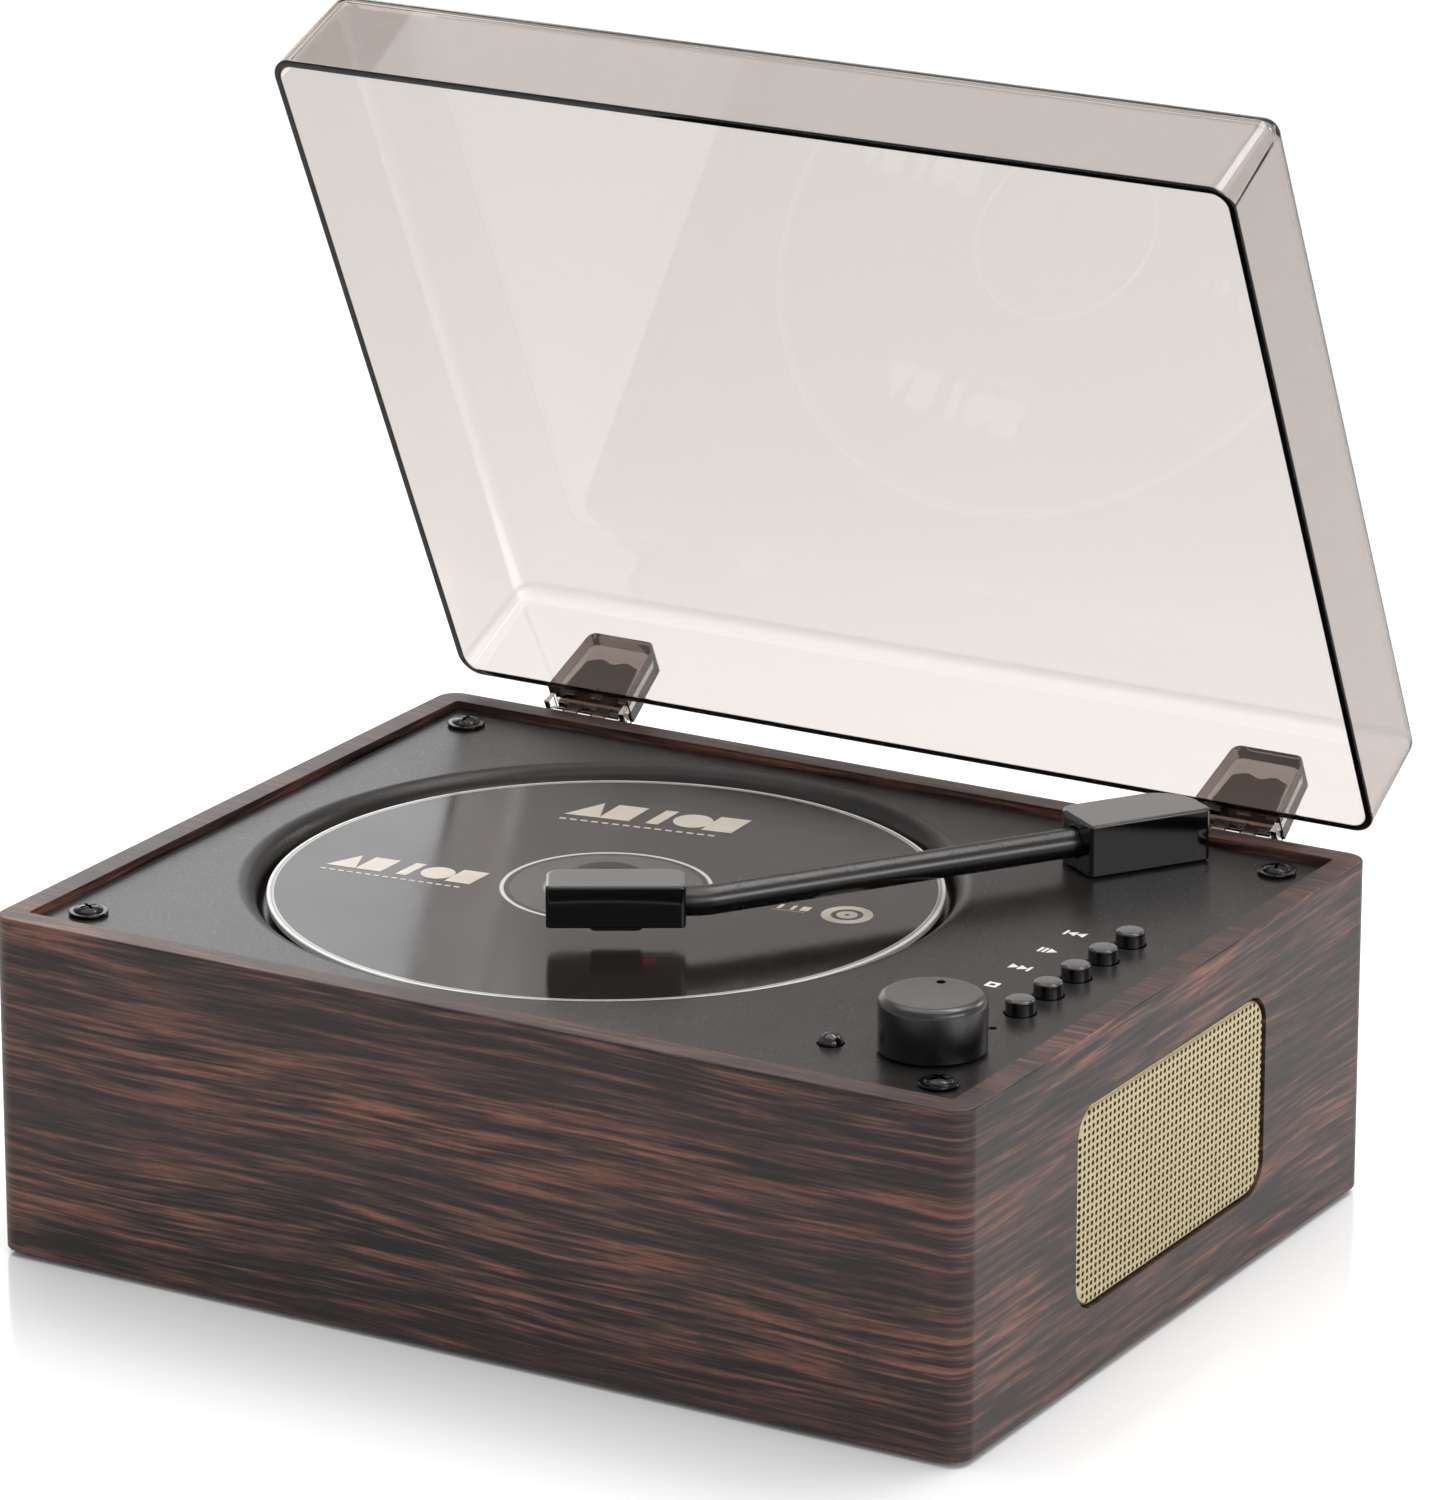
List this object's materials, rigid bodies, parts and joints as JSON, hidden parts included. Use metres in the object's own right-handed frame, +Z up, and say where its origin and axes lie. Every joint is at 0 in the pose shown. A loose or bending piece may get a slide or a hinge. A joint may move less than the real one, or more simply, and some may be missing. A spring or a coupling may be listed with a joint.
{
  "type": "disc player",
  "caption": "Tabletop disc player styled as a small turntable: wood box, dished deck with disc, dummy tonearm, knob, push buttons and a smoky hinged lid.",
  "frame": {"origin": "middle of the cabinet's footprint, on the surface the player stands on (the base board's centre foot and the four pads end there)", "axes": "+Z up, +Y to the hinged back, +X to the right seen from the front"},
  "size_m": [0.193, 0.1729, 0.2048],
  "materials": {
    "walnut_wrap": "satin dark veneer with streaked grain",
    "fibreboard": "raw fibreboard",
    "foot_rubber": "matte",
    "deck_plastic": "fine satin texture",
    "black_screws": "glossy black",
    "button_plastic": "gloss",
    "knob_plastic": "gloss sides, satin top",
    "ir_window": "gloss",
    "arm_plastic": "satin top, gloss sides",
    "arm_tube_paint": "semi-gloss black",
    "stylus_rubber": "matte",
    "smoke_lid": "smoky clear moulded plastic",
    "hinge_chrome": "polished",
    "hinge_steel": "satin",
    "grille_metal": "champagne anodised, perforated",
    "speaker_steel": "black",
    "speaker_paper": "matte black",
    "disc_polycarbonate": "printed dark label, clear hub",
    "hub_plastic": "satin",
    "mechanism_plastic": "satin",
    "damper_rubber": "matte",
    "motor_steel": "satin",
    "rod_steel": "ground",
    "lens_glass": "coated",
    "circuit_board": "solder resist",
    "panel_plastic": "fine texture",
    "inlet_steel": "plated"
  },
  "bodies": {
    "cabinet": {"cabinet_shell": "walnut_wrap", "base_board": "fibreboard", "corner_post_1": "fibreboard", "corner_post_2": "fibreboard", "corner_post_3": "fibreboard", "corner_post_4": "fibreboard", "foot_pad_1": "foot_rubber", "foot_pad_2": "foot_rubber", "foot_pad_3": "foot_rubber", "foot_pad_4": "foot_rubber", "deck": "deck_plastic", "deck_screw_left_front": "black_screws", "deck_screw_left_back": "black_screws", "deck_screw_right_front": "black_screws", "deck_screw_right_back": "black_screws", "ir_dome": "ir_window", "cabinet_hinge_leaf_left": "hinge_chrome", "cabinet_hinge_leaf_right": "hinge_chrome", "hinge_pin_left": "hinge_chrome", "hinge_pin_right": "hinge_chrome", "grille_left": "grille_metal", "grille_right": "grille_metal", "speaker_frame_left": "speaker_steel", "speaker_frame_right": "speaker_steel", "speaker_cone_left": "speaker_paper", "speaker_cone_right": "speaker_paper", "mechanism_chassis": "mechanism_plastic", "damper_1": "damper_rubber", "damper_2": "damper_rubber", "damper_3": "damper_rubber", "spindle_motor": "motor_steel", "sled_motor": "motor_steel", "guide_rod_left": "rod_steel", "guide_rod_right": "rod_steel", "pivot_post": "rod_steel", "volume_encoder": "rod_steel", "main_board": "circuit_board", "button_board": "circuit_board", "rear_panel": "panel_plastic", "audio_jack": "panel_plastic", "power_inlet": "inlet_steel"},
    "lid": {"lid": "smoke_lid", "lid_hinge_leaf_left": "hinge_steel", "lid_hinge_leaf_right": "hinge_steel"},
    "tonearm": {"arm_base": "arm_plastic", "arm_tube": "arm_tube_paint", "headshell": "arm_plastic", "stylus_foot": "stylus_rubber"},
    "spindle": {"disc": "disc_polycarbonate", "spindle_hub": "hub_plastic"},
    "knob": {"volume_knob": "knob_plastic"},
    "power_switch": {"power_slider": "panel_plastic"},
    "lead": {"lead_screw": "rod_steel"},
    "sled": {"pickup_sled": "mechanism_plastic"},
    "lens": {"pickup_lens": "lens_glass"},
    "key_1": {"button_1": "button_plastic"},
    "key_2": {"button_2": "button_plastic"},
    "key_3": {"button_3": "button_plastic"},
    "key_4": {"button_4": "button_plastic"},
    "key_5": {"button_5": "button_plastic"}
  },
  "joints": [
    {"name": "lid_hinge", "type": "hinge", "parent": "cabinet", "child": "lid", "pos_m": [0, 0.0781, 0.0608], "axis": [-1, 0, 0], "range_deg": [-64.5, 8]},
    {"name": "arm_swing", "type": "hinge", "parent": "cabinet", "child": "tonearm", "pos_m": [0.0597, 0.0564, 0.0615], "axis": [0, 0, 1], "range_deg": [-8, 30]},
    {"name": "disc_spin", "type": "hinge", "parent": "cabinet", "child": "spindle", "pos_m": [-0.017, 0.0007, 0.0584], "axis": [0, 0, -1], "continuous": true},
    {"name": "volume_turn", "type": "hinge", "parent": "cabinet", "child": "knob", "pos_m": [0.0755, -0.048, 0.0619], "axis": [0, 0, -1], "range_deg": [-150, 150]},
    {"name": "power_slide", "type": "slide", "parent": "cabinet", "child": "power_switch", "axis": [1, 0, 0], "range_m": [0, 0.003]},
    {"name": "sled_travel", "type": "slide", "parent": "cabinet", "child": "sled", "axis": [0, -1, 0], "range_m": [0, 0.0325]},
    {"name": "lead_turn", "type": "hinge", "parent": "cabinet", "child": "lead", "pos_m": [0.0065, 0, 0.0432], "axis": [0, 1, 0], "range_deg": [0, 3901]},
    {"name": "lens_focus", "type": "slide", "parent": "sled", "child": "lens", "axis": [0, 0, 1], "range_m": [-0.0004, 0.0004], "stiffness_N_per_m": 20},
    {"name": "press_1", "type": "slide", "parent": "cabinet", "child": "key_1", "axis": [0, 0, 1], "range_m": [-0.0008, 0], "stiffness_N_per_m": 800, "springref_m": 0.0002},
    {"name": "press_2", "type": "slide", "parent": "cabinet", "child": "key_2", "axis": [0, 0, 1], "range_m": [-0.0008, 0], "stiffness_N_per_m": 800, "springref_m": 0.0002},
    {"name": "press_3", "type": "slide", "parent": "cabinet", "child": "key_3", "axis": [0, 0, 1], "range_m": [-0.0008, 0], "stiffness_N_per_m": 800, "springref_m": 0.0002},
    {"name": "press_4", "type": "slide", "parent": "cabinet", "child": "key_4", "axis": [0, 0, 1], "range_m": [-0.0008, 0], "stiffness_N_per_m": 800, "springref_m": 0.0002},
    {"name": "press_5", "type": "slide", "parent": "cabinet", "child": "key_5", "axis": [0, 0, 1], "range_m": [-0.0008, 0], "stiffness_N_per_m": 800, "springref_m": 0.0002}
  ],
  "couplings": [
    {"joint": "lead_turn", "follows": "sled_travel", "rad_per_m": 2094.4}
  ]
}
